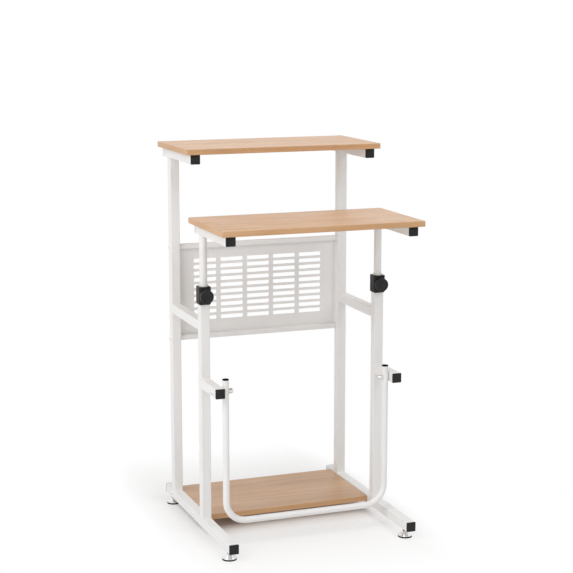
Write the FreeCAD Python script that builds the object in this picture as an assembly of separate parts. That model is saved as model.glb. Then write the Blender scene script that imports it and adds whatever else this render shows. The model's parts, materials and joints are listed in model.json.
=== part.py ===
import FreeCAD, Part
import math
import os

# A two-tier standing desk, in millimetres.
# X runs to the user's right, Y to the back and Z up.
# The origin is on the floor, under the middle of the desk's footprint.
# Heights are above the floor. Places along Y are given from the rear posts' or the columns' centre lines.

# Boards
BOARD_WIDTH = 600.0
BOARD_THICKNESS = 16.0
BOARD_CORNER = 3.0
BOARD_EDGE_ROUND = 1.2
BOARD_PAST_FRAME = 15.0
SHELF_TOP = 1127.0
SHELF_DEPTH = 300.0
SHELF_PAST_POST = 66.5
DESK_BEFORE_COLUMN = 262.0
DESK_BEHIND_COLUMN = 48.0
BOTTOM_SHELF_BEHIND_COLUMN = 28.0
BOTTOM_SHELF_PAST_POST = 44.0
BOTTOM_SHELF_DROP = 4.0

# Square tube of the side frames and the arms
TUBE = 28.0
TUBE_WALL = 1.5
TUBE_CORNER = 2.5

# Side frames
POST_TO_COLUMN = 284.0
RAIL_PAST_POST = 74.5
RAIL_BEFORE_COLUMN = 258.0
COLUMN_TOP = 731.0
MID_RAIL_BELOW_COLLAR = 48.5
SHELF_ARM_INSET_FRONT = 12.0
SHELF_ARM_INSET_BACK = 8.0
DESK_ARM_INSET = 16.0
FOOTREST_ARM_HEIGHT = 459.5
FOOTREST_ARM_REACH = 147.0

# Crossbars and the slotted panel between them; the slots' margins are the least allowed
CROSSBAR = 15.0
CROSSBAR_WALL = 1.2
CROSSBAR_CORNER = 2.0
CROSSBAR_NUT_LENGTH = 14.0
LOWER_CROSSBAR_HEIGHT = 533.5
PANEL_HEIGHT = 265.0
PANEL_SHEET = 1.0
PANEL_RECESS = 12.5
PANEL_SIDE_GAP = 0.5
SLOT_WIDTH = 71.0
SLOT_HEIGHT = 11.5
SLOT_COLUMN_GAP = 14.6
SLOT_ROW_GAP = 8.3
SLOT_SIDE_MARGIN = 40.0
SLOT_END_MARGIN = 30.0
SLOT_FIELD_RISE = 3.5

# Lift tubes and their guides
LIFT_TUBE_WALL = 1.5
LIFT_TUBE_LENGTH = 455.0
LIFT_TUBE_SHOWN = 144.0
BUSH_WALL = 1.5
BUSH_DEPTH = 60.0
BUSH_FLANGE = 3.0
BUSH_NECK_WALL = 2.4
BUSH_PROUD = 5.0
LIFT_GUIDE_LENGTH = 30.0
LIFT_GUIDE_FLOOR = 3.0

# Clamp collar, knob, screw and pad
COLLAR_WALL = 4.0
COLLAR_CORNER = 6.0
COLLAR_HEIGHT = 52.0
COLLAR_ROOF = 8.0
COLLAR_FOOT_CHAMFER = 3.0
COLLAR_TOP_ROUND = 1.5
COLLAR_BOSS_RADIUS = 12.0
COLLAR_BOSS_PROUD = 5.0
KNOB_BELOW_COLLAR_TOP = 26.0
KNOB_RADIUS = 20.0
KNOB_THICKNESS = 9.0
KNOB_HUB_RADIUS = 11.0
KNOB_HUB_LENGTH = 2.5
KNOB_EDGE_ROUND = 2.0
KNOB_RIM = 3.0
KNOB_DISH_SLOPE = 2.0
KNOB_DISH_DEPTH = 1.2
KNOB_FLUTES = 20
KNOB_FLUTE_RADIUS = 2.4
KNOB_FLUTE_DEPTH = 0.8
KNOB_STANDOFF = 1.5
KNOB_FACE_WALL = 2.5
PAD_UNDERCUT = 0.2
PAD_PROUD = 0.3

# Swinging footrest
FOOTREST_TUBE = 19.0
FOOTREST_WALL = 1.5
FOOTREST_BEND = 60.0
FOOTREST_ABOVE_RAIL = 19.0
FOOTREST_RISE = 32.0
PIVOT_FROM_ARM_FRONT = 30.0
PIVOT_BUSH_WALL = 0.95
PIVOT_FLANGE_WIDTH = 3.0
PIVOT_FLANGE = 1.4
PIVOT_SLEEVE_GAP = 0.5
PIVOT_NUT_DOME = 5.5

# Levelling feet
FOOT_RADIUS = 20.5
FOOT_PAD = 4.5
FOOT_PAD_RING = 5.0
FOOT_PAD_RECESS = 1.0
DISH_HEIGHT = 13.5
DISH_RIM = 0.8
DISH_FLOOR = 2.1
DISH_NECK_RADIUS = 6.5
FOOT_INSET_FRONT = 42.0
FOOT_INSET_BACK = 34.0
STEM_HEAD_LIP = 1.0
STEM_HEAD_HEIGHT = 5.0
STEM_HEX_GAP = 0.5
STEM_HEX_HEIGHT = 3.5
STEM_THREAD_SHOWN = 1.0
STEM_IN_RAIL = 20.0

# Plugs in the tube ends
PLUG_CAP = 3.0
PLUG_INSERT = 16.0
PLUG_WALL = 2.0
PLUG_CHAMFER = 0.8
ROUND_PLUG_CHAMFER = 1.0

# Fasteners: shank radius, head radius, head height and hex socket width
M8_RADIUS = 4.0
M8_NUT_FLATS = 13.0
M8_NUT_HEIGHT = 6.5
JAM_NUT_HEIGHT = 4.0
CROSSBAR_BOLT = (3.0, 5.0, 3.0, 4.0)
SHELF_EDGE_SCREW = (2.5, 4.5, 2.4, 3.0)
BOARD_SCREW = (2.0, 4.0, 2.4, 2.5)
PIVOT_BOLT = (M8_RADIUS, 7.0, 4.0, 5.0)
BOARD_SCREW_GRIP = 11.0
EDGE_SCREW_GRIP = 25.0
EDGE_SCREW_FRONT_INSET = 55.0
EDGE_SCREW_PAST_POST = 13.0
ARM_SCREW_FROM_END = 40.0
ARM_SCREW_PAST_WELD = 8.0

# Button heads, as shares of the head's radius and height
BUTTON_FLAT = 0.5
BUTTON_BULGE = 0.86
BUTTON_BULGE_HEIGHT = 0.68
BUTTON_SHOULDER = 0.15
SOCKET_DEPTH = 0.6

# Clearances: per side or on the radius
THREAD_FIT = 0.05
SEAT_FIT = 0.02
HOLE_FIT = 0.2
SLIDE_FIT = 0.1
GUIDE_FIT = 0.15
MOULD_FIT = 0.15
PAD_GAP = 0.3
SWIVEL_PLAY = 0.1
PIVOT_PLAY = 0.3

# Worked out from the sizes above
Vector = FreeCAD.Vector
RIGHT = Vector(1, 0, 0)
BACK = Vector(0, 1, 0)
UP = Vector(0, 0, 1)
SIDES = (("left", -1), ("right", 1))
ARC_MIDDLE = math.sqrt(0.5)

outer_face_x = BOARD_WIDTH / 2 - BOARD_PAST_FRAME
inner_face_x = outer_face_x - TUBE
side_x = outer_face_x - TUBE / 2
tube_bore = TUBE - 2 * TUBE_WALL
inner_corner = TUBE_CORNER - TUBE_WALL

front_reach = max(DESK_BEFORE_COLUMN, RAIL_BEFORE_COLUMN)
back_reach = max(RAIL_PAST_POST, SHELF_PAST_POST)
post_y = (front_reach + POST_TO_COLUMN + back_reach) / 2 - back_reach
column_y = post_y - POST_TO_COLUMN
rail_front_y = column_y - RAIL_BEFORE_COLUMN
rail_back_y = post_y + RAIL_PAST_POST
shelf_back_y = post_y + SHELF_PAST_POST
shelf_front_y = shelf_back_y - SHELF_DEPTH
shelf_arm_front_y = shelf_front_y + SHELF_ARM_INSET_FRONT
shelf_arm_back_y = shelf_back_y - SHELF_ARM_INSET_BACK
desk_front_y = column_y - DESK_BEFORE_COLUMN
desk_back_y = column_y + DESK_BEHIND_COLUMN
desk_arm_front_y = desk_front_y + DESK_ARM_INSET
desk_arm_back_y = desk_back_y - DESK_ARM_INSET
bottom_shelf_front_y = column_y + BOTTOM_SHELF_BEHIND_COLUMN
bottom_shelf_back_y = post_y + BOTTOM_SHELF_PAST_POST
footrest_arm_front_y = column_y - FOOTREST_ARM_REACH
pivot_y = footrest_arm_front_y + PIVOT_FROM_ARM_FRONT
crossbar_y = post_y + (TUBE - CROSSBAR) / 2
foot_ys = (("front", rail_front_y + FOOT_INSET_FRONT), ("rear", rail_back_y - FOOT_INSET_BACK))

dish_top = FOOT_PAD + DISH_HEIGHT
stem_hex_bottom = dish_top + STEM_HEX_GAP
rail_bottom = stem_hex_bottom + STEM_HEX_HEIGHT + STEM_THREAD_SHOWN + JAM_NUT_HEIGHT
rail_top = rail_bottom + TUBE
bottom_shelf_top = rail_top - BOTTOM_SHELF_DROP
bottom_shelf_mid = bottom_shelf_top - BOARD_THICKNESS / 2
shelf_arm_top = SHELF_TOP - BOARD_THICKNESS
shelf_arm_bottom = shelf_arm_top - TUBE
collar_top = COLUMN_TOP + BUSH_FLANGE + COLLAR_ROOF
collar_bottom = collar_top - COLLAR_HEIGHT
mid_rail_height = collar_bottom - MID_RAIL_BELOW_COLLAR - TUBE / 2
knob_z = collar_top - KNOB_BELOW_COLLAR_TOP
bush_top = collar_top + BUSH_PROUD
desk_arm_bottom = bush_top + LIFT_TUBE_SHOWN
desk_arm_top = desk_arm_bottom + TUBE
desk_top = desk_arm_top + BOARD_THICKNESS
upper_crossbar_height = LOWER_CROSSBAR_HEIGHT + PANEL_HEIGHT + CROSSBAR
crossbar_heights = (upper_crossbar_height, LOWER_CROSSBAR_HEIGHT)

# Lift and clamp, with distances in front of the column's centre line
lift_radius = tube_bore / 2 - BUSH_WALL
lift_bottom = desk_arm_bottom - LIFT_TUBE_LENGTH
bush_neck_radius = lift_radius + BUSH_NECK_WALL
collar_width = TUBE + 2 * COLLAR_WALL
collar_bore = TUBE + 2 * MOULD_FIT
nut_seat = collar_bore / 2
boss_face = collar_width / 2 + COLLAR_BOSS_PROUD
knob_back = boss_face + KNOB_STANDOFF
knob_length = KNOB_HUB_LENGTH + KNOB_THICKNESS
knob_bore_depth = knob_length - KNOB_DISH_DEPTH - KNOB_FACE_WALL
pad_radius = M8_RADIUS - PAD_UNDERCUT
pad_front = lift_radius + PAD_GAP
pad_back = TUBE / 2 + PAD_PROUD

# Footrest, with distances along X
footrest_radius = FOOTREST_TUBE / 2
flange_seat = footrest_radius + SEAT_FIT
leg_x = inner_face_x - PIVOT_PLAY - PIVOT_FLANGE - flange_seat
pivot_nut_x = leg_x - flange_seat - PIVOT_FLANGE - PIVOT_PLAY
pivot_bush_radius = M8_RADIUS + THREAD_FIT + PIVOT_BUSH_WALL
bar_z = rail_top + FOOTREST_ABOVE_RAIL
leg_top = FOOTREST_ARM_HEIGHT + FOOTREST_RISE


def rounded_face(width, depth, corner):
    """A rounded rectangle in the XY plane, centred on the origin."""
    half_x, half_y = width / 2, depth / 2
    flat_x, flat_y = half_x - corner, half_y - corner
    bulge = corner * ARC_MIDDLE
    edges = []
    for turn_x, turn_y in ((1, 1), (-1, 1), (-1, -1), (1, -1)):
        on_side = Vector(turn_x * half_x, turn_y * flat_y)
        on_bulge = Vector(turn_x * (flat_x + bulge), turn_y * (flat_y + bulge))
        on_end = Vector(turn_x * flat_x, turn_y * half_y)
        ends = (on_side, on_end) if turn_x == turn_y else (on_end, on_side)
        if edges:
            edges.append(Part.LineSegment(edges[-1].lastVertex().Point, ends[0]).toShape())
        edges.append(Part.Arc(ends[0], on_bulge, ends[1]).toShape())
    edges.append(Part.LineSegment(edges[-1].lastVertex().Point, edges[0].firstVertex().Point).toShape())
    return Part.Face(Part.Wire(edges))


def aim(shape, at, direction=UP):
    """Turns a shape that was made along +Z to point along a direction, and moves its origin."""
    shape.Placement = FreeCAD.Placement(at, FreeCAD.Rotation(UP, direction))
    return shape


def square_bar(side, corner, length, at, direction=UP):
    return aim(rounded_face(side, side, corner).extrude(UP * length), at, direction)


def square_tube(side, wall, corner, length, at, direction=UP):
    outer = square_bar(side, corner, length, at, direction)
    return outer.cut(square_bar(side - 2 * wall, corner - wall, length, at, direction))


def frame_tube(length, at, direction=UP):
    return square_tube(TUBE, TUBE_WALL, TUBE_CORNER, length, at, direction)


def rod(radius, length, at, direction=UP):
    return aim(Part.makeCylinder(radius, length), at, direction)


def hex_bar(flats, length, at, direction=UP):
    corner = flats / math.sqrt(3)
    angles = [math.radians(60 * step) for step in range(7)]
    outline = Part.makePolygon([Vector(corner * math.cos(a), corner * math.sin(a)) for a in angles])
    return aim(Part.Face(outline).extrude(UP * length), at, direction)


def turned(start, *stretches):
    """A solid turned about Z from (radius, height) points: (end,) is a line, (middle, end) an arc."""
    edges = []
    here = start
    for stretch in stretches + ((start,),):
        points = [Vector(radius, 0, height) for radius, height in (here, *stretch)]
        curve = Part.LineSegment(*points) if len(points) == 2 else Part.Arc(*points)
        edges.append(curve.toShape())
        here = stretch[-1]
    return Part.Face(Part.Wire(edges)).revolve(Vector(), UP, 360)


def rim_edges(solid, height):
    """The edges of a solid that lie wholly at one height."""
    level = [e for e in solid.Edges if abs(e.BoundBox.ZMin - height) < 1e-6]
    return [e for e in level if abs(e.BoundBox.ZMax - height) < 1e-6]


def save(node, *solids):
    """Writes one node, as one solid or as a group of like solids."""
    shape = solids[0] if len(solids) == 1 else Part.makeCompound(list(solids))
    if not shape.isValid():
        raise ValueError(node + " is not a valid shape")
    shape.exportStep("parts/" + node + ".step")
    print(node, len(shape.Solids), "solid(s),", round(shape.Volume / 1000, 2), "cm3")


def screw(sizes, length, at, direction):
    """A button-head screw with a hex socket; its head seats at the given point."""
    shank, head, height, socket = sizes
    shape = turned(
        (0, -height),
        ((head * BUTTON_FLAT, -height),),
        ((head * BUTTON_BULGE, -height * BUTTON_BULGE_HEIGHT), (head, -height * BUTTON_SHOULDER)),
        ((head, 0),),
        ((shank, 0),),
        ((shank, length - shank / 2),),
        ((shank / 2, length),),
        ((0, length),),
    )
    return aim(shape.cut(hex_bar(socket, height * SOCKET_DEPTH, Vector(0, 0, -height))), at, direction)


def hex_nut(at, direction=UP, height=M8_NUT_HEIGHT):
    nut = hex_bar(M8_NUT_FLATS, height, at, direction)
    return nut.cut(rod(M8_RADIUS + THREAD_FIT, height, at, direction))


os.makedirs("parts", exist_ok=True)


# Boards

def board(width, front_y, back_y, top, holes):
    """A board with rounded corners and edges, and pilot holes for its screws."""
    middle = Vector(0, (front_y + back_y) / 2, top - BOARD_THICKNESS)
    outline = rounded_face(width, back_y - front_y, BOARD_CORNER)
    slab = aim(outline.extrude(UP * BOARD_THICKNESS), middle)
    rims = rim_edges(slab, top) + rim_edges(slab, top - BOARD_THICKNESS)
    return slab.makeFillet(BOARD_EDGE_ROUND, rims).cut(holes)


def arm_screw_places(arm_front_y, weld_y, toward):
    """Screw places along one arm: near its front end, and beside the tube welded under it."""
    return (arm_front_y + ARM_SCREW_FROM_END, weld_y + toward * (TUBE / 2 + ARM_SCREW_PAST_WELD))


shelf_screw_ys = arm_screw_places(shelf_arm_front_y, post_y, 1)
desk_screw_ys = arm_screw_places(desk_arm_front_y, column_y, -1)
edge_screw_ys = (bottom_shelf_front_y + EDGE_SCREW_FRONT_INSET, post_y + EDGE_SCREW_PAST_POST)


def board_screws(arm_bottom, ys):
    """Screws up through both arms into the board above them."""
    places = [Vector(sign * side_x, y, arm_bottom) for _, sign in SIDES for y in ys]
    return [screw(BOARD_SCREW, TUBE + BOARD_SCREW_GRIP, place, UP) for place in places]


def board_pilots(arm_top, ys):
    radius = BOARD_SCREW[0] + SEAT_FIT
    places = [Vector(sign * side_x, y, arm_top) for _, sign in SIDES for y in ys]
    return [rod(radius, BOARD_SCREW_GRIP + SEAT_FIT, place) for place in places]


def edge_screw_seats():
    """Where the bottom shelf's screws seat on the rails' outer faces, and which way they point."""
    return [
        (Vector(sign * outer_face_x, y, bottom_shelf_mid), RIGHT * -sign)
        for _, sign in SIDES
        for y in edge_screw_ys
    ]


edge_pilots = [
    rod(SHELF_EDGE_SCREW[0] + SEAT_FIT, TUBE + EDGE_SCREW_GRIP + SEAT_FIT, seat, inward)
    for seat, inward in edge_screw_seats()
]

save("upper_shelf_board", board(
    BOARD_WIDTH, shelf_front_y, shelf_back_y, SHELF_TOP, board_pilots(shelf_arm_top, shelf_screw_ys)))
save("desktop_board", board(
    BOARD_WIDTH, desk_front_y, desk_back_y, desk_top, board_pilots(desk_arm_top, desk_screw_ys)))
save("bottom_shelf_board", board(
    2 * inner_face_x, bottom_shelf_front_y, bottom_shelf_back_y, bottom_shelf_top, edge_pilots))

save("upper_shelf_screws", *board_screws(shelf_arm_bottom, shelf_screw_ys))
save("desktop_screws", *board_screws(desk_arm_bottom, desk_screw_ys))
save("bottom_shelf_screws", *[
    screw(SHELF_EDGE_SCREW, TUBE + EDGE_SCREW_GRIP, seat, inward) for seat, inward in edge_screw_seats()])


# Side frames

def foot_rail(x):
    """Front-to-back rail with holes for the feet and for the bottom shelf's screws."""
    length = rail_back_y - rail_front_y - 2 * PLUG_CAP
    rail = frame_tube(length, Vector(x, rail_front_y + PLUG_CAP, rail_bottom + TUBE / 2), BACK)
    holes = [rod(M8_RADIUS + HOLE_FIT, TUBE / 2, Vector(x, y, rail_bottom)) for _, y in foot_ys]
    for y in edge_screw_ys:
        across = Vector(x - TUBE / 2, y, bottom_shelf_mid)
        holes.append(rod(SHELF_EDGE_SCREW[0] + HOLE_FIT, TUBE, across, RIGHT))
    return rail.cut(holes)


def rear_post(x):
    """Upright from the rail to the shelf arm, drilled for the crossbar bolts."""
    post = frame_tube(shelf_arm_bottom - rail_top, Vector(x, post_y, rail_top))
    drill = CROSSBAR_BOLT[0] + HOLE_FIT
    return post.cut([rod(drill, TUBE, Vector(x - TUBE / 2, crossbar_y, z), RIGHT) for z in crossbar_heights])


def board_arm(x, front_y, back_y, top, screw_ys):
    """Front-to-back arm under a board, drilled for the board's screws."""
    arm = frame_tube(back_y - front_y - 2 * PLUG_CAP, Vector(x, front_y + PLUG_CAP, top - TUBE / 2), BACK)
    return arm.cut([rod(BOARD_SCREW[0] + HOLE_FIT, TUBE, Vector(x, y, top - TUBE)) for y in screw_ys])


def shelf_arm(x):
    return board_arm(x, shelf_arm_front_y, shelf_arm_back_y, shelf_arm_top, shelf_screw_ys)


def mid_rail(x):
    length = POST_TO_COLUMN - TUBE
    return frame_tube(length, Vector(x, column_y + TUBE / 2, mid_rail_height), BACK)


def pad_hole(x):
    """The clearance hole through a column's front wall, or its bush, for the clamp's pad."""
    return rod(pad_radius + HOLE_FIT, TUBE, Vector(x, column_y, knob_z), -BACK)


def front_column(x):
    """Outer tube of the lift."""
    return frame_tube(COLUMN_TOP - rail_top, Vector(x, column_y, rail_top)).cut(pad_hole(x))


def footrest_arm(x):
    length = FOOTREST_ARM_REACH - TUBE / 2 - PLUG_CAP
    arm = frame_tube(length, Vector(x, footrest_arm_front_y + PLUG_CAP, FOOTREST_ARM_HEIGHT), BACK)
    across = Vector(x - TUBE / 2, pivot_y, FOOTREST_ARM_HEIGHT)
    return arm.cut(rod(M8_RADIUS + HOLE_FIT, TUBE, across, RIGHT))


for name, sign in SIDES:
    x = sign * side_x
    save(name + "_foot_rail", foot_rail(x))
    save(name + "_rear_post", rear_post(x))
    save(name + "_shelf_arm", shelf_arm(x))
    save(name + "_mid_rail", mid_rail(x))
    save(name + "_front_column", front_column(x))
    save(name + "_footrest_arm", footrest_arm(x))


# Plugs in the ends of the square tubes

def square_plug(at, direction):
    """A cap as wide as the tube, with a hollow insert that fits the tube's bore."""
    cap = square_bar(TUBE, TUBE_CORNER, PLUG_CAP, Vector())
    cap = cap.makeChamfer(PLUG_CHAMFER, rim_edges(cap, PLUG_CAP))
    insert_side = tube_bore - 2 * MOULD_FIT
    insert_at = Vector(0, 0, -PLUG_INSERT)
    insert = square_tube(insert_side, PLUG_WALL, PLUG_WALL + MOULD_FIT, PLUG_INSERT, insert_at)
    return aim(cap.fuse(insert).removeSplitter(), at, direction)


def arm_plugs(front_y, back_y, height):
    """Plugs in both ends of the left and the right arm; an arm with no free back end gives None."""
    plugs = []
    for _, sign in SIDES:
        plugs.append(square_plug(Vector(sign * side_x, front_y + PLUG_CAP, height), -BACK))
        if back_y is not None:
            plugs.append(square_plug(Vector(sign * side_x, back_y - PLUG_CAP, height), BACK))
    return plugs


save("shelf_arm_plugs", *arm_plugs(shelf_arm_front_y, shelf_arm_back_y, shelf_arm_top - TUBE / 2))
save("desk_arm_plugs", *arm_plugs(desk_arm_front_y, desk_arm_back_y, desk_arm_top - TUBE / 2))
save("foot_rail_plugs", *arm_plugs(rail_front_y, rail_back_y, rail_bottom + TUBE / 2))
save("footrest_arm_plugs", *arm_plugs(footrest_arm_front_y, None, FOOTREST_ARM_HEIGHT))


# Crossbars and slotted panel

def crossbar(height):
    at = Vector(-inner_face_x, crossbar_y, height)
    return square_tube(CROSSBAR, CROSSBAR_WALL, CROSSBAR_CORNER, 2 * inner_face_x, at, RIGHT)


def crossbar_end_nut(sign, height):
    """A threaded block in the end of a crossbar."""
    side = CROSSBAR - 2 * CROSSBAR_WALL - 2 * SLIDE_FIT
    at = Vector(sign * inner_face_x, crossbar_y, height)
    block = square_bar(side, CROSSBAR_CORNER, CROSSBAR_NUT_LENGTH, at, RIGHT * -sign)
    return block.cut(rod(CROSSBAR_BOLT[0] + THREAD_FIT, CROSSBAR_NUT_LENGTH, at, RIGHT * -sign))


def slot_centres(span, size, gap, margin):
    """Centres of as many slots as fit in a span with its margins, about the span's middle."""
    count = int((span - 2 * margin + gap) // (size + gap))
    return [(step - (count - 1) / 2) * (size + gap) for step in range(count)]


def slotted_panel():
    """A sheet with edges folded back on all sides, and a field of slots."""
    low = LOWER_CROSSBAR_HEIGHT + CROSSBAR / 2
    width = 2 * (inner_face_x - PANEL_SIDE_GAP)
    front_y = crossbar_y - CROSSBAR / 2 + PANEL_RECESS
    fold = CROSSBAR - PANEL_RECESS
    pan = Part.makeBox(width, fold, PANEL_HEIGHT, Vector(-width / 2, front_y, low))
    hollow = Part.makeBox(
        width - 2 * PANEL_SHEET, fold, PANEL_HEIGHT - 2 * PANEL_SHEET,
        Vector(PANEL_SHEET - width / 2, front_y + PANEL_SHEET, low + PANEL_SHEET))
    slots = []
    for slot_x in slot_centres(width, SLOT_WIDTH, SLOT_COLUMN_GAP, SLOT_SIDE_MARGIN):
        for rise in slot_centres(PANEL_HEIGHT, SLOT_HEIGHT, SLOT_ROW_GAP, SLOT_END_MARGIN):
            slot_z = low + PANEL_HEIGHT / 2 + SLOT_FIELD_RISE + rise
            corner = Vector(slot_x - SLOT_WIDTH / 2, front_y, slot_z - SLOT_HEIGHT / 2)
            slots.append(Part.makeBox(SLOT_WIDTH, PANEL_SHEET, SLOT_HEIGHT, corner))
    return pan.cut([hollow] + slots)


crossbar_ends = [(sign, z) for _, sign in SIDES for z in crossbar_heights]
crossbar_bolt_length = TUBE + CROSSBAR_NUT_LENGTH

save("upper_crossbar", crossbar(upper_crossbar_height))
save("lower_crossbar", crossbar(LOWER_CROSSBAR_HEIGHT))
save("slotted_back_panel", slotted_panel())
save("crossbar_end_nuts", *[crossbar_end_nut(sign, z) for sign, z in crossbar_ends])
save("crossbar_bolts", *[
    screw(CROSSBAR_BOLT, crossbar_bolt_length, Vector(sign * outer_face_x, crossbar_y, z), RIGHT * -sign)
    for sign, z in crossbar_ends])


# Lift tubes, guides and desk arms

def lift_tube(x):
    at = Vector(x, column_y, lift_bottom)
    bore = rod(lift_radius - LIFT_TUBE_WALL, LIFT_TUBE_LENGTH, at)
    return rod(lift_radius, LIFT_TUBE_LENGTH, at).cut(bore)


def desk_arm(x):
    return board_arm(x, desk_arm_front_y, desk_arm_back_y, desk_arm_top, desk_screw_ys)


def guide_bush(x):
    """Bush in the column's top: a square body, a flange on the column's end and a neck in the collar."""
    column_end = Vector(x, column_y, COLUMN_TOP)
    body_bottom = column_end - UP * BUSH_DEPTH
    body = square_bar(tube_bore - 2 * SLIDE_FIT, inner_corner + SLIDE_FIT, BUSH_DEPTH, body_bottom)
    flange = square_bar(TUBE, TUBE_CORNER, BUSH_FLANGE, column_end)
    neck = rod(bush_neck_radius, bush_top - COLUMN_TOP, column_end)
    bore = rod(lift_radius + THREAD_FIT, bush_top - body_bottom.z, body_bottom)
    return body.fuse([flange, neck]).removeSplitter().cut([bore, pad_hole(x)])


def lift_guide(x):
    """Square shoe on the lower end of a lift tube, which slides in the column."""
    at = Vector(x, column_y, lift_bottom - LIFT_GUIDE_FLOOR)
    shoe = square_bar(tube_bore - 2 * GUIDE_FIT, inner_corner + GUIDE_FIT, LIFT_GUIDE_LENGTH, at)
    return shoe.cut(rod(lift_radius + SEAT_FIT, LIFT_GUIDE_LENGTH, Vector(x, column_y, lift_bottom)))


for name, sign in SIDES:
    x = sign * side_x
    save(name + "_lift_tube", lift_tube(x))
    save(name + "_desk_arm", desk_arm(x))
save("lift_tube_guides", *[lift_guide(sign * side_x) for _, sign in SIDES])
save("column_guide_bushes", *[guide_bush(sign * side_x) for _, sign in SIDES])


# Clamp collars and knobs

def clamp_collar(x):
    """A moulded sleeve over the column's end, with a boss for the clamp's screw."""
    foot = Vector(x, column_y, collar_bottom)
    clamp_axis = Vector(x, column_y, knob_z)
    sleeve = square_bar(collar_width, COLLAR_CORNER, COLLAR_HEIGHT, foot)
    sleeve = sleeve.makeChamfer(COLLAR_FOOT_CHAMFER, rim_edges(sleeve, collar_bottom))
    sleeve = sleeve.makeFillet(COLLAR_TOP_ROUND, rim_edges(sleeve, collar_top))
    boss = rod(COLLAR_BOSS_RADIUS, boss_face, clamp_axis, -BACK)
    pocket = square_bar(collar_bore, TUBE_CORNER, COLLAR_HEIGHT - COLLAR_ROOF, foot)
    neck_hole = rod(bush_neck_radius + MOULD_FIT, COLLAR_HEIGHT, foot)
    pocket_end = nut_seat + M8_NUT_HEIGHT + MOULD_FIT
    nut_pocket = hex_bar(M8_NUT_FLATS + 2 * MOULD_FIT, pocket_end, clamp_axis, -BACK)
    screw_hole = rod(M8_RADIUS + HOLE_FIT, boss_face, clamp_axis, -BACK)
    return sleeve.fuse(boss).cut([pocket, neck_hole, nut_pocket, screw_hole])


def clamp_knob(x):
    """A fluted hand knob with a dished face and a blind hole for its screw."""
    edge = KNOB_RADIUS - KNOB_EDGE_ROUND
    shoulder = knob_length - KNOB_EDGE_ROUND
    bulge = KNOB_EDGE_ROUND * ARC_MIDDLE
    dish = edge - KNOB_RIM
    dish_floor = knob_length - KNOB_DISH_DEPTH
    knob = turned(
        (0, 0),
        ((KNOB_HUB_RADIUS, 0),),
        ((KNOB_HUB_RADIUS, KNOB_HUB_LENGTH),),
        ((KNOB_RADIUS, KNOB_HUB_LENGTH),),
        ((KNOB_RADIUS, shoulder),),
        ((edge + bulge, shoulder + bulge), (edge, knob_length)),
        ((dish, knob_length),),
        ((dish - KNOB_DISH_SLOPE, dish_floor),),
        ((0, dish_floor),),
    )
    flute_ring = KNOB_RADIUS - KNOB_FLUTE_DEPTH + KNOB_FLUTE_RADIUS
    cuts = [rod(M8_RADIUS + SEAT_FIT, knob_bore_depth, Vector())]
    for step in range(KNOB_FLUTES):
        angle = 2 * math.pi * step / KNOB_FLUTES
        place = Vector(flute_ring * math.cos(angle), flute_ring * math.sin(angle), KNOB_HUB_LENGTH)
        cuts.append(rod(KNOB_FLUTE_RADIUS, KNOB_THICKNESS, place))
    return aim(knob.cut(cuts), Vector(x, column_y - knob_back, knob_z), -BACK)


def clamp_screw(x):
    """Threaded rod from the knob's blind hole to the pad."""
    start = pad_back + SWIVEL_PLAY
    end = knob_back + knob_bore_depth - SEAT_FIT
    return rod(M8_RADIUS, end - start, Vector(x, column_y - start, knob_z), -BACK)


def clamp_pad(x):
    return rod(pad_radius, pad_back - pad_front, Vector(x, column_y - pad_front, knob_z), -BACK)


for name, sign in SIDES:
    x = sign * side_x
    save(name + "_clamp_collar", clamp_collar(x))
    save(name + "_clamp_knob", clamp_knob(x))
    save(name + "_clamp_screw", clamp_screw(x))
    save(name + "_clamp_pad", clamp_pad(x))
save("clamp_nuts", *[hex_nut(Vector(sign * side_x, column_y - nut_seat, knob_z), -BACK) for _, sign in SIDES])


# Swinging footrest

def footrest_path():
    """The centre line of the U: down one leg, along the bar and up the other leg."""
    bulge = FOOTREST_BEND * (1 - ARC_MIDDLE)
    left_bend = [
        Vector(-leg_x, pivot_y, bar_z + FOOTREST_BEND),
        Vector(-leg_x + bulge, pivot_y, bar_z + bulge),
        Vector(-leg_x + FOOTREST_BEND, pivot_y, bar_z),
    ]
    right_bend = [Vector(-point.x, point.y, point.z) for point in reversed(left_bend)]
    edges = [
        Part.LineSegment(Vector(-leg_x, pivot_y, leg_top), left_bend[0]),
        Part.Arc(*left_bend),
        Part.LineSegment(left_bend[2], right_bend[0]),
        Part.Arc(*right_bend),
        Part.LineSegment(right_bend[2], Vector(leg_x, pivot_y, leg_top)),
    ]
    return Part.Wire([edge.toShape() for edge in edges])


def footrest_sweep(radius):
    ring = Part.Wire(Part.Circle(Vector(-leg_x, pivot_y, leg_top), UP, radius).toShape())
    return footrest_path().makePipeShell([ring], True, False)


def footrest_bar():
    """The bent tube, with a hole across each leg for the pivot's bushes."""
    bar = footrest_sweep(footrest_radius).cut(footrest_sweep(footrest_radius - FOOTREST_WALL))
    hole = pivot_bush_radius + SEAT_FIT
    starts = [Vector(sign * leg_x - footrest_radius, pivot_y, FOOTREST_ARM_HEIGHT) for _, sign in SIDES]
    return bar.cut([rod(hole, FOOTREST_TUBE, start, RIGHT) for start in starts])


def pivot_bush(leg, outward):
    """Half of a leg's bush: a flange on the tube's flank and a sleeve in the hole across it."""
    bore = M8_RADIUS + THREAD_FIT
    sleeve = footrest_radius - PIVOT_SLEEVE_GAP
    flange = pivot_bush_radius + PIVOT_FLANGE_WIDTH
    bush = turned(
        (bore, -sleeve),
        ((pivot_bush_radius, -sleeve),),
        ((pivot_bush_radius, 0),),
        ((flange, 0),),
        ((flange, PIVOT_FLANGE),),
        ((bore, PIVOT_FLANGE),),
    )
    at = Vector(leg + outward * flange_seat, pivot_y, FOOTREST_ARM_HEIGHT)
    return aim(bush, at, RIGHT * outward)


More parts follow.
